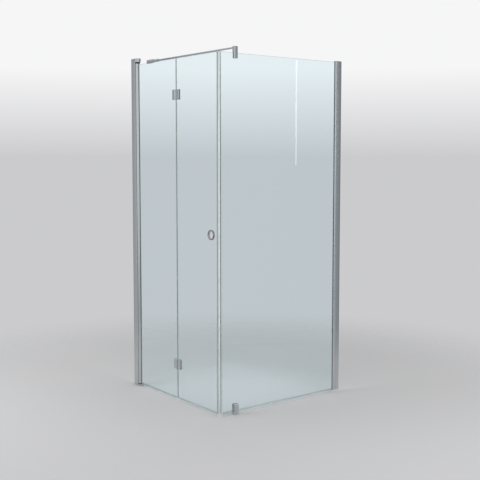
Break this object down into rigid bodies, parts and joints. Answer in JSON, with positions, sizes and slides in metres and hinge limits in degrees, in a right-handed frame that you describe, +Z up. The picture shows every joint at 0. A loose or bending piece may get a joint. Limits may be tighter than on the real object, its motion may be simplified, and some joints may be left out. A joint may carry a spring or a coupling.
{
  "type": "corner shower enclosure",
  "caption": "Frameless glass corner shower enclosure with a two-leaf folding door on a wall pivot, a fixed side pane, wall profiles, a stabiliser bar and a floor clamp.",
  "frame": {"origin": "on the floor, below the middle of the enclosure's outline seen from above", "axes": "+X along the door from the left wall to the open corner, +Y from the door towards the back wall, +Z up"},
  "size_m": [0.912, 0.915, 2.041],
  "materials": {
    "safety_glass": "clear toughened safety glass with a faint blue-green tint",
    "bright_aluminium": "bright anodised extrusion",
    "chromed_fittings": "polished chrome",
    "stainless_fasteners": "plain stainless steel",
    "black_plastic": "black acetal",
    "clear_seal": "clear soft PVC",
    "grey_rubber": "grey glazing rubber",
    "magnet_strip": "flexible magnet in a pale sheath"
  },
  "bodies": {
    "enclosure_frame": {"left_wall_channel": "bright_aluminium", "left_seat_profile": "bright_aluminium", "left_profile_screws": "stainless_fasteners", "top_pivot_block": "chromed_fittings", "bottom_pivot_block": "chromed_fittings", "top_pivot_bush": "black_plastic", "bottom_pivot_bush": "black_plastic", "right_wall_channel": "bright_aluminium", "right_cover_profile": "bright_aluminium", "right_glazing_gaskets": "grey_rubber", "right_profile_screws": "stainless_fasteners", "right_top_cap": "chromed_fittings", "right_bottom_cap": "chromed_fittings", "fixed_glass": "safety_glass", "fixed_magnet_seal": "clear_seal", "fixed_magnet_strip": "magnet_strip", "fixed_bottom_seal": "clear_seal", "floor_clamp": "chromed_fittings", "floor_clamp_liner": "grey_rubber", "floor_clamp_screw": "stainless_fasteners", "bar_glass_clamp": "chromed_fittings", "bar_clamp_liner": "grey_rubber", "bar_clamp_screws": "stainless_fasteners", "stabiliser_bar": "chromed_fittings", "bar_sleeve": "chromed_fittings", "bar_wall_socket": "chromed_fittings", "bar_wall_plate": "stainless_fasteners", "bar_socket_screw": "stainless_fasteners"},
    "wall_leaf": {"pivot_tube": "bright_aluminium", "tube_top_pin": "stainless_fasteners", "tube_bottom_pin": "stainless_fasteners", "tube_glazing_gasket": "grey_rubber", "wall_leaf_glass": "safety_glass", "fold_seal": "clear_seal", "wall_leaf_sweep": "clear_seal", "upper_hinge_wall_plate": "chromed_fittings", "lower_hinge_wall_plate": "chromed_fittings", "upper_hinge_wall_clamp": "chromed_fittings", "lower_hinge_wall_clamp": "chromed_fittings", "hinge_pins": "stainless_fasteners", "wall_leaf_hinge_gaskets": "grey_rubber", "wall_leaf_hinge_screws": "stainless_fasteners"},
    "outer_leaf": {"outer_leaf_glass": "safety_glass", "upper_hinge_door_plate": "chromed_fittings", "lower_hinge_door_plate": "chromed_fittings", "upper_hinge_door_clamp": "chromed_fittings", "lower_hinge_door_clamp": "chromed_fittings", "outer_leaf_hinge_gaskets": "grey_rubber", "outer_leaf_hinge_screws": "stainless_fasteners", "grip_ring_outer": "chromed_fittings", "grip_ring_inner": "chromed_fittings", "grip_washers": "grey_rubber", "door_magnet_seal": "clear_seal", "door_magnet_strip": "magnet_strip", "outer_leaf_sweep": "clear_seal"}
  },
  "joints": [
    {"name": "wall_pivot", "type": "hinge", "parent": "enclosure_frame", "child": "wall_leaf", "pos_m": [-0.402, -0.4395, 0], "axis": [0, 0, 1], "range_deg": [-90, 90]},
    {"name": "fold_hinge", "type": "hinge", "parent": "wall_leaf", "child": "outer_leaf", "pos_m": [0.026, -0.4495, 0], "axis": [0, 0, -1], "range_deg": [0, 180]}
  ]
}
